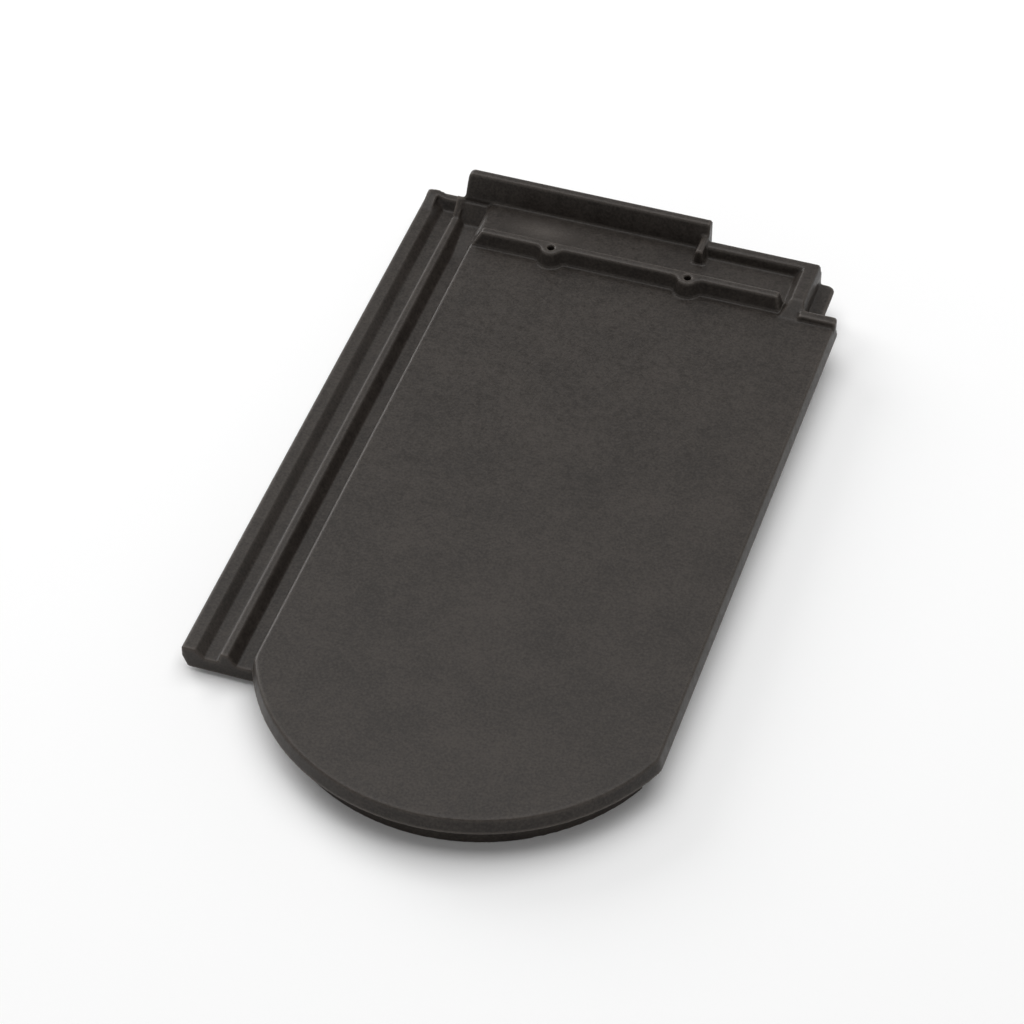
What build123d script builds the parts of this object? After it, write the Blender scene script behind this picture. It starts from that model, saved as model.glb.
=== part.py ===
from build123d import *
import os
from math import atan2, cos, degrees, radians, sin, sqrt

# A flat interlocking roof tile of fired clay with a round-cut tail, pressed as one piece.
# Millimetres. The tile lies on its tail foot and its two hanging nibs, with z = 0 under them.
# X runs across the tile from the side lock to the cover fold, Y from the tail to the head.
# Depths and heights are measured from the weather face unless a comment says otherwise.

# Weather face
panel_width = 205.0  # between the upper side edges
panel_length = 389.5  # tail tip to the foot of the cross ridge
tail_drop = 68.4  # tail tip to the corners of the round cut
plate_thickness = 13.0
rim_height = 8.6  # edge band round the tail and the sides
rim_flare = 1.8  # outward lean of that band
edge_round = 1.4
tail_corner_round = 9.0
head_corner_round = 2.0
recess_round = 4.6  # edge where the head recess drains into the inner groove

# Foot under the tail
foot_height = 16.4  # below the edge band
foot_inset = 7.2
foot_width = 10.0
foot_lean = 1.4
foot_round = 1.5

# Side lock along the left edge
lock_width = 40.4
lock_tail_gap = 2.7  # from the corner of the round cut to the end of the lock
lock_depth = 22.4
lock_outer_lean = 2.7
lock_outer_face = 6.1
outer_rib_depth = 9.4
outer_rib_top = 7.2
outer_groove_depth = 14.2
outer_groove_floor = 7.7
outer_groove_slope = 4.6
inner_rib_depth = 8.1
inner_rib_top = 3.9
inner_rib_lean = 1.0
inner_groove_depth = 14.2
inner_groove_slope = 4.4
web_width = 11.0  # wall that carries the lock below the panel
lock_round = 1.0
groove_round = 1.6
lock_corner_round = 4.0
groove_stop_length = 7.0  # at its foot
groove_stop_top = 4.5
groove_stop_rise = 1.2  # above the outer rib
rib_end_rise = 2.9  # of the outer rib's own end
rib_end_length = 15.0
drain_depth = 2.5  # head end of the inner groove
drain_top = 1.5
drain_length = 8.5  # at its foot
drain_rise = 2.2  # of the groove's floor before that
drain_slope_length = 34.0

# Cover fold under the right edge
fold_lip = 3.0  # between the fold's groove and the panel's edge
fold_clearance = 1.0
fold_rib_depth = 6.4  # roof of the fold's groove, and the rib's top in the notch
fold_rib_head = 36.8  # beyond the foot of the cross ridge
fold_rib_lean = 1.4
fold_rib_round = 5.0  # corner of its head end
fold_lip_lean = 1.4
fold_tail_gap = 2.0  # behind the corner of the round cut

# Head of the tile
head_length = 45.5  # foot of the cross ridge to the head end
ridge_height = 9.0
ridge_width = 8.7  # at its foot
ridge_draft = 2.0
ridge_end_lean = 5.4  # of its left end
ridge_left_gap = 0.6  # to the panel's left edge
ridge_right_gap = 0.4  # to the foot of the right rib
boss_radius = 7.2  # at its foot
boss_forward = 1.9  # boss centre beyond the foot of the ridge
boss_blend = 3.0
nail_hole_diameter = 4.0
nail_inset = 45.6  # first hole from the panel's left edge
nail_spacing = 77.0
crest_round = 1.0

tall_rib_height = 14.4
tall_rib_top = 4.8
tall_rib_draft = 4.2
tall_rib_length = 139.4
tall_rib_overhang = 15.6  # past the panel's left edge, over the inner lock rib
tall_rib_end_lean = 1.2
tall_rib_end_round = 3.0
rib_ramp_length = 9.0

low_rib_height = 6.0
low_rib_top = 6.2
low_rib_draft = 1.8
low_rib_setback = 7.0  # behind the head end
low_rib_round = 1.8

right_rib_top = 7.4
right_rib_draft = 4.2
right_rib_inset = 18.6  # from the panel's right edge to the top of its outer side
right_rib_outer_draft = 1.2
right_rib_ramp = 9.6

ledge_height = 3.5
ledge_depth = 5.6
ledge_forward = 3.0  # foot of the ledge before the foot of the ridge

buttress_width = 6.4
buttress_length = 17.0
buttress_height = 8.0
buttress_draft = 1.5
buttress_past = 1.4  # beyond the end of the tall rib
buttress_round = 1.5

# Hanging nibs under the head
nib_width = 30.0
nib_length = 14.0
nib_spacing = 104.0
nib_from_head = 31.0  # bearing face to the head end
nib_round = 2.5
nib_lean = 3.0

overlap = 1.0  # how far joined features run into each other
near = 0.01  # tolerance when an edge is picked by its place

# Levels
face = foot_height + rim_height
plate_bottom = face - plate_thickness
band_bottom = face - rim_height
lock_bottom = face - lock_depth
outer_rib_level = face - outer_rib_depth
outer_groove_level = face - outer_groove_depth
inner_rib_level = face - inner_rib_depth
inner_groove_level = face - inner_groove_depth
low_rib_level = face + low_rib_height
fold_rib_level = face - fold_rib_depth
fold_rib_tip = outer_groove_level + fold_clearance

# Places across the tile
tile_width = lock_width + panel_width + rim_flare
panel_left = lock_width - tile_width / 2
panel_right = panel_left + panel_width
panel_middle = panel_left + panel_width / 2

# Places along the tile
tile_length = rim_flare + panel_length + head_length
tail_tip = rim_flare - tile_length / 2
ridge_foot = tail_tip + panel_length
head_end = ridge_foot + head_length
low_head_end = head_end - low_rib_setback
ledge_front = ridge_foot - ledge_forward
ledge_back = ledge_front + ledge_depth
lock_end = tail_tip + tail_drop + lock_tail_gap
nib_front = head_end - nib_from_head

# Round cut of the tail
half_width = panel_width / 2
tail_radius = (half_width**2 + tail_drop**2) / (2 * tail_drop)
tail_centre = tail_tip + tail_radius
band_radius = tail_radius + rim_flare
band_half_width = half_width + rim_flare
band_corner = tail_centre - sqrt(band_radius**2 - band_half_width**2)
flare_angle = degrees(atan2(rim_flare, rim_height))

# Places of the head's ribs and of the cover fold
tall_rib_left = panel_left - tall_rib_overhang
tall_rib_right = tall_rib_left + tall_rib_length
right_rib_edge = panel_right - right_rib_inset
head_right = right_rib_edge + right_rib_outer_draft
tall_rib_foot = tall_rib_top + tall_rib_draft
drain_root = head_end - tall_rib_foot
low_rib_foot = low_rib_top + low_rib_draft
right_crest = right_rib_edge - right_rib_top
right_rib_foot = right_crest - right_rib_draft
right_rib_end = ledge_front + right_rib_ramp
buttress_right = tall_rib_right + buttress_past
low_rib_left = buttress_right - buttress_width / 2
ledge_right = panel_right + rim_flare / 2
ridge_left = panel_left + ridge_left_gap
ridge_length = right_rib_foot - ridge_right_gap - ridge_left
nail_left = panel_left + nail_inset
nail_row = ridge_foot + boss_forward
nail_places = [(nail_left, nail_row), (nail_left + nail_spacing, nail_row)]
buttress_angle = degrees(atan2(buttress_draft, buttress_height))

# Side lock's section, from its outer edge inwards
outer_edge = panel_left - lock_width
outer_rib_right = outer_edge + outer_rib_top
outer_groove_left = outer_rib_right + outer_groove_slope
outer_groove_right = outer_groove_left + outer_groove_floor
inner_rib_left = outer_groove_right + inner_rib_lean
inner_rib_right = inner_rib_left + inner_rib_top
inner_groove_left = inner_rib_right + inner_groove_slope
inner_groove_right = panel_left - rim_flare

# Cover fold's section, which drops over the next tile's lock, one cover pitch away
cover_pitch = panel_right - fold_lip - fold_clearance - inner_rib_right
fold_left = outer_edge + cover_pitch - fold_clearance
fold_rib_left = outer_groove_left + cover_pitch + fold_clearance
fold_rib_right = outer_groove_right + cover_pitch - fold_clearance
fold_groove_left = fold_rib_right + fold_rib_lean
fold_groove_right = inner_rib_right + cover_pitch + fold_clearance
fold_tail = tail_tip + tail_drop + fold_tail_gap

# Foot under the tail: it turns from the left end of the round cut to the right end
foot_outer = band_radius - foot_inset
core_radius = foot_outer - foot_width / 2
core_left = panel_left + web_width / 2
foot_half_angle = degrees(atan2(half_width - foot_inset, tail_centre - tail_tip - tail_drop))
foot_sweep = 2 * foot_half_angle
foot_plane = Plane(
    origin=(panel_middle, tail_centre, 0),
    x_dir=(-sin(radians(foot_half_angle)), -cos(radians(foot_half_angle)), 0),
    z_dir=(-cos(radians(foot_half_angle)), sin(radians(foot_half_angle)), 0),
)


def section_x(y):
    """Plane across the tile at y: sketch x is X, sketch y is Z, and it extrudes towards the tail."""
    return Plane(origin=(0, y, 0), x_dir=(1, 0, 0), z_dir=(0, -1, 0))


def section_y(x):
    """Plane along the tile at x: sketch x is Y, sketch y is Z, and it extrudes to the right."""
    return Plane(origin=(x, 0, 0), x_dir=(0, 1, 0), z_dir=(1, 0, 0))


def at_level(corners, *levels):
    """The corners of a sketch that lie at the given heights of its own y."""
    return [corner for corner in corners if any(abs(corner.Y - level) < near for level in levels)]


with BuildPart() as tile:
    # Weather plate with its flared edge band and round-cut tail
    with BuildSketch(Plane.XY.offset(band_bottom)) as band_outline:
        with BuildLine():
            left_corner = (panel_middle - band_half_width, band_corner)
            right_corner = (panel_middle + band_half_width, band_corner)
            ThreePointArc(left_corner, (panel_middle, tail_tip - rim_flare), right_corner)
            Polyline(
                right_corner,
                (panel_middle + band_half_width, ledge_back + rim_flare),
                (panel_middle - band_half_width, ledge_back + rim_flare),
                left_corner,
            )
        make_face()
        fillet(band_outline.vertices().group_by(Axis.Y)[0], tail_corner_round + rim_flare)
        head_corner = band_outline.vertices().group_by(Axis.Y)[-1].sort_by(Axis.X)[-1]
        fillet(head_corner, head_corner_round + rim_flare)
    extrude(amount=rim_height, taper=flare_angle)
    fillet(tile.faces().sort_by(Axis.Z)[-1].edges(), edge_round)

    # Thicker middle of the plate, clear of the edge band and the cover fold
    with BuildSketch(Plane.XY.offset(plate_bottom)):
        with Locations((panel_middle, tail_centre)):
            Circle(core_radius)
            Rectangle(2 * core_radius, ledge_back - tail_centre, align=(Align.CENTER, Align.MIN))
        with Locations((core_left, tail_centre)):
            Rectangle(
                fold_left - core_left,
                2 * tile_length,
                align=(Align.MIN, Align.CENTER),
                mode=Mode.INTERSECT,
            )
    extrude(amount=plate_thickness - rim_height + overlap)

    # Head plate behind the cross ridge, stepped back to the right of the tall rib and thin over the fold
    with BuildSketch(section_x(head_end)) as head_section:
        with Locations((inner_groove_right, plate_bottom)):
            Rectangle(tall_rib_right - inner_groove_right, plate_thickness, align=(Align.MIN, Align.MIN))
        fillet(head_section.vertices().group_by(Axis.Y)[-1].sort_by(Axis.X)[0], recess_round)
    extrude(amount=head_end - ridge_foot)
    with BuildSketch(section_x(low_head_end)):
        with Locations((fold_left, face)):
            Rectangle(fold_left - tall_rib_right + overlap, plate_thickness, align=(Align.MAX, Align.MAX))
            Rectangle(head_right - fold_left, rim_height, align=(Align.MIN, Align.MAX))
    extrude(amount=low_head_end - ridge_foot)

    # Side lock: two ribs, two grooves and the web that carries them below the panel
    with BuildSketch(section_x(head_end)) as lock_section:
        with BuildLine():
            Polyline(
                (panel_left + web_width, face - rim_height / 2),
                (panel_left, face - rim_height / 2),
                (inner_groove_right, band_bottom),
                (inner_groove_right, inner_groove_level),
                (inner_groove_left, inner_groove_level),
                (inner_rib_right, inner_rib_level),
                (inner_rib_left, inner_rib_level),
                (outer_groove_right, outer_groove_level),
                (outer_groove_left, outer_groove_level),
                (outer_rib_right, outer_rib_level),
                (outer_edge, outer_rib_level),
                (outer_edge, outer_rib_level - lock_outer_face),
                (outer_edge + lock_outer_lean, lock_bottom),
                (panel_left + web_width, lock_bottom),
                close=True,
            )
        make_face()
        fillet(at_level(lock_section.vertices(), outer_rib_level, inner_rib_level), lock_round)
        fillet(at_level(lock_section.vertices(), outer_groove_level, inner_groove_level), groove_round)
    extrude(amount=head_end - lock_end)

    # Stop across the head end of the outer groove, the outer rib's rise to its end and the slope between
    stop_left = outer_edge + lock_round
    groove_stop = (inner_rib_left + lock_round, groove_stop_rise, groove_stop_length, outer_groove_level)
    rib_end = (outer_rib_right, rib_end_rise, rib_end_length, outer_rib_level)
    for stop_right, rise, length, foot_level in (groove_stop, rib_end):
        with BuildSketch(section_y(stop_left)):
            with BuildLine():
                Polyline(
                    (head_end, lock_bottom + overlap),
                    (head_end, outer_rib_level + rise),
                    (head_end - groove_stop_top, outer_rib_level + rise),
                    (head_end - length, foot_level),
                    (head_end - length, lock_bottom + overlap),
                    close=True,
                )
            make_face()
        extrude(amount=stop_right - stop_left)
    with BuildSketch(section_x(head_end)):
        with BuildLine():
            Polyline(
                (outer_rib_right - overlap, outer_groove_level),
                (outer_rib_right - overlap, outer_rib_level + rib_end_rise),
                (outer_rib_right, outer_rib_level + rib_end_rise),
                (outer_groove_left, outer_rib_level + groove_stop_rise),
                (outer_groove_left, outer_groove_level),
                close=True,
            )
        make_face()
    extrude(amount=groove_stop_top)

    # Rise of the inner groove to its head end, where the recess drains into it
    with BuildSketch(section_y(inner_rib_right - lock_round)):
        with BuildLine():
            Polyline(
                (drain_root + overlap, lock_bottom + overlap),
                (drain_root + overlap, face - drain_depth),
                (drain_root - drain_top, face - drain_depth),
                (drain_root - drain_length, inner_groove_level + drain_rise),
                (drain_root - drain_slope_length, inner_groove_level),
                (drain_root - drain_slope_length, lock_bottom + overlap),
                close=True,
            )
        make_face()
    extrude(amount=inner_groove_right + overlap - inner_rib_right + lock_round)

    # Rounded corner of the lock's head end
    with BuildSketch(Plane.XY.offset(lock_bottom)):
        with Locations((outer_edge, head_end)):
            Rectangle(lock_corner_round, lock_corner_round, align=(Align.MIN, Align.MAX))
        with Locations((outer_edge + lock_corner_round, head_end - lock_corner_round)):
            Circle(lock_corner_round, mode=Mode.SUBTRACT)
    extrude(amount=lock_depth, mode=Mode.SUBTRACT)

    # Ledge that carries the ridge's line on to the right edge
    with BuildSketch(Plane.XY.offset(face - rim_height / 2)) as ledge_outline:
        with Locations((ledge_right, ledge_front)):
            Rectangle(ledge_right - right_rib_edge + overlap, ledge_depth, align=(Align.MAX, Align.MIN))
        fillet(ledge_outline.vertices().group_by(Axis.Y)[-1].sort_by(Axis.X)[-1], head_corner_round)
    extrude(amount=rim_height / 2 + ledge_height)
    fillet(tile.faces().sort_by(Axis.Z)[-1].edges(), crest_round)

    # Low rib that closes the head to the right of the tall one, and the right rib that it turns into,
    # which runs out on the panel in a ramp
    rib_foot = (face, head_right, ledge_front, right_rib_foot, low_head_end - low_rib_foot)
    rib_crest = (low_rib_level, right_rib_edge, right_rib_end, right_crest, low_head_end - low_rib_top)
    for level, outer, tail_end, inner, front in (rib_foot, rib_crest):
        with BuildSketch(Plane.XY.offset(level)):
            with BuildLine():
                Polyline(
                    (low_rib_left, low_head_end),
                    (outer, low_head_end),
                    (outer, tail_end),
                    (inner, tail_end),
                    (inner, front),
                    (low_rib_left, front),
                    close=True,
                )
            make_face()
    loft(ruled=True)
    fillet(tile.faces().sort_by(Axis.Z)[-1].edges(), low_rib_round)

    # Buttress in the corner where the tall rib meets the low one
    with BuildSketch(Plane.XY.offset(face)) as buttress_outline:
        with Locations((buttress_right, head_end - tall_rib_top)):
            Rectangle(buttress_width, buttress_length, align=(Align.MAX, Align.MAX))
        fillet(buttress_outline.vertices(), buttress_round)
    extrude(amount=buttress_height, taper=buttress_angle)
    fillet(tile.faces().sort_by(Axis.Z)[-1].edges(), crest_round)

    # Cross ridge, drafted on every side, with two nail bosses that swell towards the tail
    ridge_sections = (
        (0, 0, face - overlap),
        (0, 0, face),
        (ridge_draft, ridge_end_lean, face + ridge_height),
    )
    for inset, left_inset, level in ridge_sections:
        with BuildSketch(Plane.XY.offset(level)) as ridge_outline:
            with Locations(*nail_places):
                Circle(boss_radius - inset)
            with Locations((ridge_left, ridge_foot + ridge_width / 2)):
                Rectangle(ridge_length, 2 * boss_radius, align=(Align.MIN, Align.MIN), mode=Mode.SUBTRACT)
            with Locations((ridge_left + left_inset, ridge_foot + inset)):
                Rectangle(
                    ridge_length - left_inset - inset,
                    ridge_width - 2 * inset,
                    align=(Align.MIN, Align.MIN),
                )
            front_corners = at_level(ridge_outline.vertices().sort_by(Axis.X), ridge_foot + inset)
            fillet(front_corners[1:-1], boss_blend + inset)
    loft(ruled=True)
    fillet(tile.faces().group_by(Axis.Z)[-1].sort_by(SortBy.AREA)[-1].edges(), crest_round)

    # Tall rib along the head, carried over the inner lock rib at its left end
    with BuildSketch(Plane.XY.offset(face - overlap)):
        with Locations(((tall_rib_left + tall_rib_right) / 2, head_end)):
            Rectangle(tall_rib_length, tall_rib_foot, align=(Align.CENTER, Align.MAX))
    with BuildSketch(Plane.XY.offset(face + tall_rib_height)):
        with Locations((tall_rib_right, head_end)):
            Rectangle(tall_rib_length - tall_rib_end_lean, tall_rib_top, align=(Align.MAX, Align.MAX))
    loft()
    tall_rib_crest = tile.faces().sort_by(Axis.Z)[-1]
    fillet(tall_rib_crest.edges().sort_by(Axis.X)[0], tall_rib_end_round)
    fillet(tile.faces().sort_by(Axis.Z)[-1].edges(), crest_round)
    with BuildSketch(Plane.XY.offset(lock_bottom + overlap)):
        with Locations((tall_rib_left, head_end)):
            Rectangle(tall_rib_overhang + overlap, tall_rib_foot, align=(Align.MIN, Align.MAX))
    extrude(amount=face - lock_bottom - overlap)

    # Ramp that leads the inner lock rib up to the tall rib
    with BuildSketch(section_y(inner_rib_left)):
        with BuildLine():
            Polyline(
                (head_end - tall_rib_foot + overlap, inner_rib_level - overlap),
                (head_end - tall_rib_foot + overlap, face),
                (head_end - tall_rib_foot - rib_ramp_length, inner_rib_level),
                (head_end - tall_rib_foot - rib_ramp_length, inner_rib_level - overlap),
                close=True,
            )
        make_face()
    extrude(amount=inner_rib_top)

    # Cover fold: a groove for the next tile's inner rib and a rib for its outer groove, which runs on
    # through the notch to a rounded end
    with BuildSketch(section_x(ledge_back + rim_flare)):
        with BuildLine():
            Polyline(
                (fold_rib_right, fold_rib_tip),
                (fold_groove_left, fold_rib_level),
                (fold_groove_right, fold_rib_level),
                (fold_groove_right + fold_lip_lean, fold_rib_tip),
                close=True,
            )
        make_face()
    extrude(amount=ledge_back + rim_flare - fold_tail, mode=Mode.SUBTRACT)
    with BuildSketch(section_x(ridge_foot + fold_rib_head)):
        with BuildLine():
            Polyline(
                (fold_rib_left - fold_rib_level + fold_rib_tip, fold_rib_level),
                (fold_groove_left, fold_rib_level),
                (fold_rib_right, fold_rib_tip),
                (fold_rib_left, fold_rib_tip),
                close=True,
            )
        make_face()
    extrude(amount=ridge_foot + fold_rib_head - fold_tail)
    with BuildSketch(Plane.XY.offset(fold_rib_tip)):
        with Locations((fold_groove_left, ridge_foot + fold_rib_head)):
            Rectangle(fold_rib_round, fold_rib_round, align=(Align.MAX, Align.MAX))
        with Locations((fold_groove_left - fold_rib_round, ridge_foot + fold_rib_head - fold_rib_round)):
            Circle(fold_rib_round, mode=Mode.SUBTRACT)
    extrude(amount=fold_rib_level - fold_rib_tip, mode=Mode.SUBTRACT)

    # Foot under the tail, turned about the centre of the round cut
    with BuildSketch(foot_plane) as foot_section:
        with BuildLine():
            Polyline(
                (foot_outer, band_bottom + overlap),
                (foot_outer, band_bottom),
                (foot_outer - foot_lean, 0),
                (foot_outer - foot_width + foot_lean, 0),
                (foot_outer - foot_width, band_bottom),
                (foot_outer - foot_width, band_bottom + overlap),
                close=True,
            )
        make_face()
        fillet(at_level(foot_section.vertices(), 0), foot_round)
    revolve(axis=Axis((panel_middle, tail_centre, 0), (0, 0, 1)), revolution_arc=foot_sweep)

    # Two hanging nibs under the head, with an upright face towards the tail
    for nib_middle in (-nib_spacing / 2, nib_spacing / 2):
        with BuildSketch(section_y(nib_middle - nib_width / 2)) as nib_section:
            with BuildLine():
                Polyline(
                    (nib_front, plate_bottom + overlap),
                    (nib_front, 0),
                    (nib_front + nib_length - nib_lean, 0),
                    (nib_front + nib_length, plate_bottom),
                    (nib_front + nib_length, plate_bottom + overlap),
                    close=True,
                )
            make_face()
            fillet(at_level(nib_section.vertices(), 0), nib_round)
        extrude(amount=nib_width)

    # Nail holes through the bosses
    with Locations(*[(x, y, face + ridge_height) for x, y in nail_places]):
        Hole(nail_hole_diameter / 2)

tile.part.label = "tile_body"
os.makedirs("parts", exist_ok=True)
export_step(tile.part, "parts/tile_body.step")
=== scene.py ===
import math

import bmesh
import bpy
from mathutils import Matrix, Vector

bl_info = {
    "name": "Round-tail roof tile",
    "version": (1, 0, 0),
    "blender": (4, 5, 0),
    "location": "View3D > Sidebar > Roof tile",
    "description": "Dresses a flat interlocking clay roof tile and sets its studio stage",
    "category": "Object",
}

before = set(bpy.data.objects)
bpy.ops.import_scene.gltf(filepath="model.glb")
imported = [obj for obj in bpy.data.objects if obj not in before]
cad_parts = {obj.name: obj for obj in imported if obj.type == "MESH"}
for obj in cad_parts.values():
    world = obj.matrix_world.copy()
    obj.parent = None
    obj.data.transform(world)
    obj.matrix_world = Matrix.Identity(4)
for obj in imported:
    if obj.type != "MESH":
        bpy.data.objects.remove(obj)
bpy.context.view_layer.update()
TILE_NODE = "tile_body"
MM = 0.001

# How far the press softens each edge in one pass
EDGE_SOFTNESS = 0.5

# Noise values between which each pattern goes from none to full
TONE_RANGE = (0.4, 0.6)
MOTTLE_RANGE = (0.3, 0.7)
HAZE_RANGE = (1.9, 3.0)
HAZE_BREAKUP = 4.0
HAZE_COVER = 0.4

# Painted highlight along the convex edges: a paler colour mixed in where the clay is sharp
# Share of open space inside the clay: 1 on a flat face, about a half on a sharp edge
ARRIS_RANGE = (0.94, 0.6)
ARRIS_COVER = 0.8
ARRIS_SAMPLES = 4

# Slip coat: typical index of fired clay, with the gloss of a matt coat
CLAY_IOR = 1.5
CLAY_SPECULAR = 0.19
SATIN_SPREAD = 0.08
RELIEF_HEIGHT = 0.16 * MM
RELIEF_STRENGTH = 0.6
RELIEF_GRIT_SHARE = 0.6

# Studio: lengths in metres, the sensor in millimetres
LAMP_DISTANCE = 4.0
SIDE_LAMP_TOWARDS = (-0.75, 0.5, 0.43)
TOP_LAMP_TOWARDS = (-0.05, 0.2, 0.97)
FLOOR_REACH = 6.0
SENSOR_WIDTH = 36.0

# Glow that only the camera sees, so that the lit paper of the floor reads as white
FLOOR_LIFT = 0.06

# Heights in the room, as the sine of the angle above the floor
WALL_FADE = (0.05, 0.5)
BACKDROP_FADE = (0.3, 0.7)


def linear_colour(hex_colour):
    """Turn an sRGB hex colour into the linear RGBA that shader sockets take."""
    channels = [int(hex_colour[place:place + 2], 16) / 255 for place in (1, 3, 5)]
    linear = [c / 12.92 if c <= 0.04045 else ((c + 0.055) / 1.055) ** 2.4 for c in channels]
    return (*linear, 1.0)


def add_node(tree, kind, settings=None, **inputs):
    """Add a node, set its properties and fill its inputs with links or with values.

    An input is named by its socket, with _ for a space, or by its number, such as _2.
    """
    node = tree.nodes.new(kind)
    for name, value in (settings or {}).items():
        setattr(node, name, value)
    for name, value in inputs.items():
        key = int(name[1:]) if name[1:].isdigit() else name.replace("_", " ")
        socket = node.inputs[key]
        if isinstance(value, bpy.types.NodeSocket):
            tree.links.new(value, socket)
        else:
            socket.default_value = value
    return node


class RoofTileFinish(bpy.types.PropertyGroup):
    """Sizes and colours of the fired and engobed clay."""

    voxel: bpy.props.FloatProperty(
        name="Edge voxel",
        description="Grain of the remesh that softens every pressed edge",
        default=0.7 * MM,
        unit="LENGTH",
    )
    soften: bpy.props.IntProperty(
        name="Softening passes",
        description="Smoothing passes that round the edges of the clay",
        default=3,
        min=1,
    )
    share: bpy.props.FloatProperty(
        name="Faces kept",
        description="Share of the softened mesh that is kept",
        default=0.12,
        subtype="FACTOR",
    )
    engobe: bpy.props.StringProperty(
        name="Engobe",
        description="Main colour of the slip coat",
        default="#272320",
    )
    engobe_pale: bpy.props.StringProperty(
        name="Pale engobe",
        description="Thin places of the slip coat",
        default="#38332f",
    )
    film: bpy.props.StringProperty(
        name="Kiln film",
        description="Pale haze left in the head recess",
        default="#6a645f",
    )
    haze_middle: bpy.props.FloatVectorProperty(
        name="Haze place",
        description="Middle of the pale haze in the head recess",
        default=(-48 * MM, 196 * MM, 25 * MM),
        subtype="TRANSLATION",
    )
    haze_size: bpy.props.FloatVectorProperty(
        name="Haze size",
        description="Reach of the haze across, along and above the recess",
        default=(21 * MM, 9 * MM, 4 * MM),
        subtype="XYZ",
    )
    cloud: bpy.props.FloatProperty(
        name="Cloud size",
        description="Width of the slow changes of tone",
        default=30 * MM,
        unit="LENGTH",
    )
    mottle: bpy.props.FloatProperty(
        name="Mottle size",
        description="Width of the small blotches of the slip coat",
        default=4 * MM,
        unit="LENGTH",
    )
    grit: bpy.props.FloatProperty(
        name="Grit size",
        description="Width of the grains under the slip coat",
        default=1.4 * MM,
        unit="LENGTH",
    )
    # Width of the painted highlight, a paler band along each convex edge in place of light caught
    # by the edge
    arris: bpy.props.FloatProperty(
        name="Arris width",
        description="Width along an edge where the slip coat is thin",
        default=2.0 * MM,
        unit="LENGTH",
    )
    # Colour of the painted highlight along the convex edges
    edge_highlight_tone: bpy.props.StringProperty(
        name="Arris",
        description="Colour of the thin slip coat along the edges",
        default="#625b55",
    )
    roughness: bpy.props.FloatProperty(
        name="Roughness",
        description="Satin of the slip coat",
        default=0.37,
        subtype="FACTOR",
    )


class RoofTileStage(bpy.types.PropertyGroup):
    """Camera, lamps and floor of the studio."""

    lens: bpy.props.FloatProperty(
        name="Lens",
        description="Focal length on a 36 mm sensor",
        default=128.14,
        unit="CAMERA",
    )
    azimuth: bpy.props.FloatProperty(
        name="Azimuth",
        description="Camera's turn to the right of the tile's tail",
        default=math.radians(18.52),
        subtype="ANGLE",
    )
    elevation: bpy.props.FloatProperty(
        name="Elevation",
        description="Camera's height above the floor",
        default=math.radians(45.17),
        subtype="ANGLE",
    )
    distance: bpy.props.FloatProperty(
        name="Distance",
        description="From the camera to the point that it aims at",
        default=1838 * MM,
        unit="LENGTH",
    )
    aim: bpy.props.FloatVectorProperty(
        name="Aim",
        description="Point on the weather face at the middle of the picture",
        default=(3.7 * MM, -14.4 * MM, 25 * MM),
        subtype="TRANSLATION",
    )
    side_watts: bpy.props.FloatProperty(
        name="Side lamp",
        description="Power of the softbox on the left",
        default=62,
        unit="POWER",
    )
    side_size: bpy.props.FloatProperty(
        name="Side lamp size",
        description="Side of the left softbox",
        default=2.0,
        unit="LENGTH",
    )
    top_watts: bpy.props.FloatProperty(
        name="Top lamp",
        description="Power of the large softbox overhead",
        default=164,
        unit="POWER",
    )
    top_size: bpy.props.FloatProperty(
        name="Top lamp size",
        description="Side of the softbox overhead",
        default=4.6,
        unit="LENGTH",
    )
    ambient: bpy.props.FloatProperty(
        name="Ambient",
        description="Strength of the room's light on matt surfaces",
        default=0.1,
    )
    walls: bpy.props.FloatProperty(
        name="Walls",
        description="Strength of the light that the white walls throw back on matt surfaces",
        default=1.0,
    )
    ceiling: bpy.props.FloatProperty(
        name="Ceiling",
        description="Brightness of the grey ceiling above the white backdrop, as the gloss sees it",
        default=0.25,
    )
    floor: bpy.props.StringProperty(
        name="Floor",
        description="Colour of the pale floor",
        default="#f3f3f3",
    )


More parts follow.
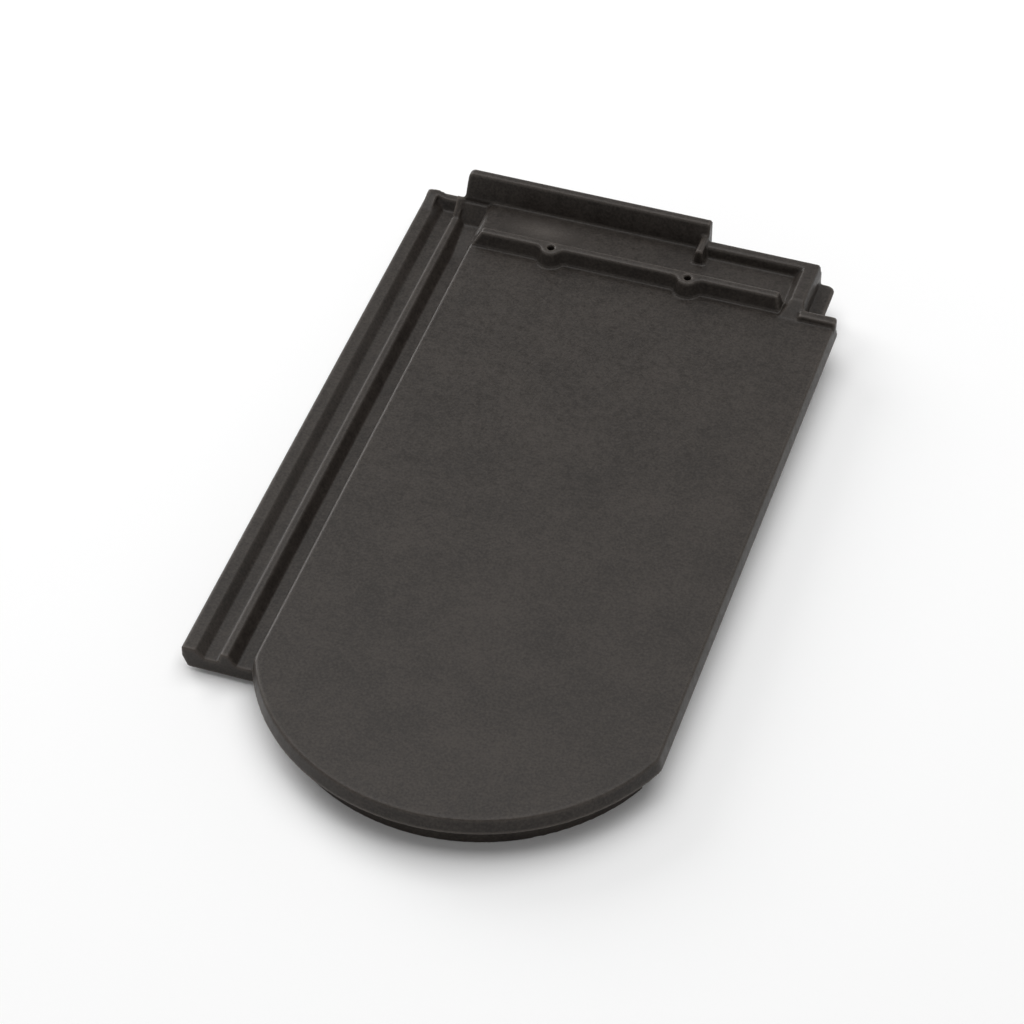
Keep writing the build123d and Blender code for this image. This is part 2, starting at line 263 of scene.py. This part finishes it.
def engobed_clay(finish):
    """Fired clay under a sprayed slip coat: a dense, matt to satin skin in warm grey.

    The press and the spray give it grit that breaks up the gloss, small blotches of tone
    and slow clouds from the kiln. Real grit is a few tenths of a millimetre across, which is
    too fine to show in the render, so it is drawn as coarse as it needs to show. Along the
    convex edges a paler colour is painted in as a highlight, and the kiln left a smudge in the head
    recess.
    """
    material = bpy.data.materials.new("engobed_clay")
    material.use_nodes = True
    tree = material.node_tree
    tree.nodes.clear()
    place = add_node(tree, "ShaderNodeTexCoord").outputs["Object"]

    cloud, mottle, grit = (
        add_node(
            tree,
            "ShaderNodeTexNoise",
            Vector=place,
            Scale=1 / size,
            Detail=detail,
            Roughness=roughness,
        ).outputs["Fac"]
        for size, detail, roughness in (
            (finish.cloud, 3.0, 0.5),
            (finish.mottle, 4.0, 0.6),
            (finish.grit, 2.0, 0.6),
        )
    )

    tone = add_node(
        tree,
        "ShaderNodeMix",
        {"data_type": "FLOAT"},
        _0=0.5,
        _2=cloud,
        _3=mottle,
    ).outputs[0]
    speckled_tone = add_node(
        tree,
        "ShaderNodeMix",
        {"data_type": "FLOAT"},
        _0=0.5,
        _2=tone,
        _3=grit,
    ).outputs[0]
    tone_spread = add_node(
        tree,
        "ShaderNodeMapRange",
        Value=speckled_tone,
        From_Min=TONE_RANGE[0],
        From_Max=TONE_RANGE[1],
    ).outputs["Result"]
    coat = add_node(
        tree,
        "ShaderNodeMix",
        {"data_type": "RGBA"},
        _0=tone_spread,
        _6=linear_colour(finish.engobe),
        _7=linear_colour(finish.engobe_pale),
    ).outputs[2]

    haze_place = add_node(
        tree,
        "ShaderNodeMapping",
        {"vector_type": "TEXTURE"},
        Vector=place,
        Location=finish.haze_middle,
        Scale=finish.haze_size,
    ).outputs["Vector"]
    haze_reach = add_node(
        tree,
        "ShaderNodeVectorMath",
        {"operation": "LENGTH"},
        _0=haze_place,
    ).outputs["Value"]
    haze_edge = add_node(
        tree,
        "ShaderNodeMath",
        {"operation": "MULTIPLY_ADD"},
        _0=speckled_tone,
        _1=HAZE_BREAKUP,
        _2=haze_reach,
    ).outputs[0]
    haze = add_node(
        tree,
        "ShaderNodeMapRange",
        Value=haze_edge,
        From_Min=HAZE_RANGE[0],
        From_Max=HAZE_RANGE[1],
        To_Min=HAZE_COVER,
        To_Max=0.0,
    ).outputs["Result"]
    hazed_coat = add_node(
        tree,
        "ShaderNodeMix",
        {"data_type": "RGBA"},
        _0=haze,
        _6=coat,
        _7=linear_colour(finish.film),
    ).outputs[2]

    # Painted highlight: a paler colour along the convex edges, where the occlusion inside the clay
    # drops
    arris = add_node(
        tree,
        "ShaderNodeAmbientOcclusion",
        {"inside": True, "only_local": True, "samples": ARRIS_SAMPLES},
        Distance=finish.arris,
    ).outputs["AO"]
    edge_highlight_mask = add_node(
        tree,
        "ShaderNodeMapRange",
        Value=arris,
        From_Min=ARRIS_RANGE[0],
        From_Max=ARRIS_RANGE[1],
        To_Min=0.0,
        To_Max=ARRIS_COVER,
    ).outputs["Result"]
    edge_highlighted_coat = add_node(
        tree,
        "ShaderNodeMix",
        {"data_type": "RGBA"},
        _0=edge_highlight_mask,
        _6=hazed_coat,
        _7=linear_colour(finish.edge_highlight_tone),
    ).outputs[2]

    satin = add_node(
        tree,
        "ShaderNodeMapRange",
        Value=mottle,
        From_Min=MOTTLE_RANGE[0],
        From_Max=MOTTLE_RANGE[1],
        To_Min=finish.roughness - SATIN_SPREAD,
        To_Max=finish.roughness + SATIN_SPREAD,
    ).outputs["Result"]
    relief = add_node(
        tree,
        "ShaderNodeMix",
        {"data_type": "FLOAT"},
        _0=RELIEF_GRIT_SHARE,
        _2=mottle,
        _3=grit,
    ).outputs[0]
    bump = add_node(
        tree,
        "ShaderNodeBump",
        Strength=RELIEF_STRENGTH,
        Distance=RELIEF_HEIGHT,
        Height=relief,
    ).outputs["Normal"]

    shader = add_node(
        tree,
        "ShaderNodeBsdfPrincipled",
        Base_Color=edge_highlighted_coat,
        Roughness=satin,
        IOR=CLAY_IOR,
        Specular_IOR_Level=CLAY_SPECULAR,
        Normal=bump,
    ).outputs["BSDF"]
    add_node(tree, "ShaderNodeOutputMaterial", Surface=shader)
    return material


class ROOFTILE_OT_tile_body(bpy.types.Operator):
    """Soften the pressed edges of the tile and coat it with engobe."""

    bl_idname = "rooftile.tile_body"
    bl_label = "Tile body"

    def execute(self, context):
        finish = context.scene.roof_tile_finish
        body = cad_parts[TILE_NODE]

        remesh = body.modifiers.new("Pressed clay", "REMESH")
        remesh.mode = "VOXEL"
        remesh.voxel_size = finish.voxel
        remesh.use_smooth_shade = True
        soften = body.modifiers.new("Soft edges", "SMOOTH")
        soften.factor = EDGE_SOFTNESS
        soften.iterations = finish.soften
        thin = body.modifiers.new("Fewer faces", "DECIMATE")
        thin.decimate_type = "COLLAPSE"
        thin.ratio = finish.share

        coat = engobed_clay(finish)
        body.data.materials.clear()
        body.data.materials.append(coat)
        return {"FINISHED"}


class ROOFTILE_OT_stage(bpy.types.Operator):
    """Lay the white floor, hang the lamps and set the camera at the photograph's angle."""

    bl_idname = "rooftile.stage"
    bl_label = "Studio stage"

    def execute(self, context):
        stage = context.scene.roof_tile_stage
        self.lay_floor(stage)
        self.light_room(context.scene, stage)
        self.set_camera(context.scene, stage)
        context.scene.view_settings.view_transform = "Standard"
        return {"FINISHED"}

    def lay_floor(self, stage):
        """Lay a wide sheet of matt white paper, which takes the tile's shadow."""
        shell = bmesh.new()
        bmesh.ops.create_grid(shell, x_segments=1, y_segments=1, size=FLOOR_REACH)
        mesh = bpy.data.meshes.new("floor")
        shell.to_mesh(mesh)
        shell.free()
        floor = bpy.data.objects.new("floor", mesh)
        bpy.context.collection.objects.link(floor)

        material = bpy.data.materials.new("matt_white_sweep")
        material.use_nodes = True
        tree = material.node_tree
        tree.nodes.clear()
        seen = add_node(tree, "ShaderNodeLightPath").outputs["Is Camera Ray"]
        paper = add_node(
            tree,
            "ShaderNodeBsdfDiffuse",
            Color=linear_colour(stage.floor),
        ).outputs["BSDF"]
        lift = add_node(
            tree,
            "ShaderNodeMath",
            {"operation": "MULTIPLY"},
            _0=seen,
            _1=FLOOR_LIFT,
        ).outputs[0]
        glow = add_node(tree, "ShaderNodeEmission", Strength=lift).outputs["Emission"]
        both = add_node(tree, "ShaderNodeAddShader", _0=paper, _1=glow).outputs["Shader"]
        add_node(tree, "ShaderNodeOutputMaterial", Surface=both)
        mesh.materials.append(material)

    def light_room(self, scene, stage):
        """Set the white room's own light, and hang a softbox at the side and one overhead."""
        world = bpy.data.worlds.new("white_room")
        scene.world = world
        world.use_nodes = True
        tree = world.node_tree
        tree.nodes.clear()
        rays = add_node(tree, "ShaderNodeLightPath").outputs
        seen = add_node(
            tree,
            "ShaderNodeMath",
            {"operation": "MAXIMUM"},
            _0=rays["Is Camera Ray"],
            _1=rays["Is Transmission Ray"],
        ).outputs[0]
        direction = add_node(tree, "ShaderNodeTexCoord").outputs["Generated"]
        height = add_node(tree, "ShaderNodeSeparateXYZ", Vector=direction).outputs["Z"]
        backdrop = add_node(
            tree,
            "ShaderNodeMapRange",
            Value=height,
            From_Min=BACKDROP_FADE[0],
            From_Max=BACKDROP_FADE[1],
            To_Min=1.0,
            To_Max=stage.ceiling,
        ).outputs["Result"]
        fill = add_node(
            tree,
            "ShaderNodeMapRange",
            Value=height,
            From_Min=WALL_FADE[0],
            From_Max=WALL_FADE[1],
            To_Min=stage.walls,
            To_Max=stage.ambient,
        ).outputs["Result"]
        thrown_light = add_node(
            tree,
            "ShaderNodeMapRange",
            Value=rays["Is Glossy Ray"],
            To_Min=fill,
            To_Max=backdrop,
        ).outputs["Result"]
        strength = add_node(
            tree,
            "ShaderNodeMath",
            {"operation": "MAXIMUM"},
            _0=thrown_light,
            _1=seen,
        ).outputs[0]
        room = add_node(
            tree,
            "ShaderNodeBackground",
            Color=linear_colour("#ffffff"),
            Strength=strength,
        ).outputs["Background"]
        add_node(tree, "ShaderNodeOutputWorld", Surface=room)

        lamps = (
            ("side_softbox", stage.side_watts, stage.side_size, SIDE_LAMP_TOWARDS),
            ("top_softbox", stage.top_watts, stage.top_size, TOP_LAMP_TOWARDS),
        )
        for name, watts, size, place in lamps:
            lamp = bpy.data.lights.new(name, "AREA")
            lamp.energy = watts
            lamp.shape = "SQUARE"
            lamp.size = size
            softbox = bpy.data.objects.new(name, lamp)
            bpy.context.collection.objects.link(softbox)
            towards = Vector(place).normalized()
            softbox.location = towards * LAMP_DISTANCE
            softbox.rotation_euler = towards.to_track_quat("Z", "Y").to_euler()

    def set_camera(self, scene, stage):
        """Stand the camera at the photograph's angle and aim it at the weather face."""
        data = bpy.data.cameras.new("photo_camera")
        data.sensor_width = SENSOR_WIDTH
        data.lens = stage.lens
        camera = bpy.data.objects.new("photo_camera", data)
        bpy.context.collection.objects.link(camera)
        back = Vector((
            math.sin(stage.azimuth) * math.cos(stage.elevation),
            -math.cos(stage.azimuth) * math.cos(stage.elevation),
            math.sin(stage.elevation),
        ))
        camera.location = Vector(stage.aim) + back * stage.distance
        camera.rotation_euler = back.to_track_quat("Z", "Y").to_euler()
        scene.camera = camera


class ROOFTILE_PT_sidebar(bpy.types.Panel):
    """List the tile's settings and its operators."""

    bl_idname = "ROOFTILE_PT_sidebar"
    bl_label = "Roof tile"
    bl_space_type = "VIEW_3D"
    bl_region_type = "UI"
    bl_category = "Roof tile"

    def draw(self, context):
        for group in (context.scene.roof_tile_finish, context.scene.roof_tile_stage):
            for name in group.__annotations__:
                self.layout.prop(group, name)
        for operator in (ROOFTILE_OT_tile_body, ROOFTILE_OT_stage):
            self.layout.operator(operator.bl_idname)


CLASSES = (
    RoofTileFinish,
    RoofTileStage,
    ROOFTILE_OT_tile_body,
    ROOFTILE_OT_stage,
    ROOFTILE_PT_sidebar,
)


def register():
    for cls in CLASSES:
        bpy.utils.register_class(cls)
    bpy.types.Scene.roof_tile_finish = bpy.props.PointerProperty(type=RoofTileFinish)
    bpy.types.Scene.roof_tile_stage = bpy.props.PointerProperty(type=RoofTileStage)


def unregister():
    del bpy.types.Scene.roof_tile_stage
    del bpy.types.Scene.roof_tile_finish
    for cls in reversed(CLASSES):
        bpy.utils.unregister_class(cls)


def main():
    register()
    bpy.ops.rooftile.tile_body()
    bpy.ops.rooftile.stage()


if __name__ == "__main__":
    main()
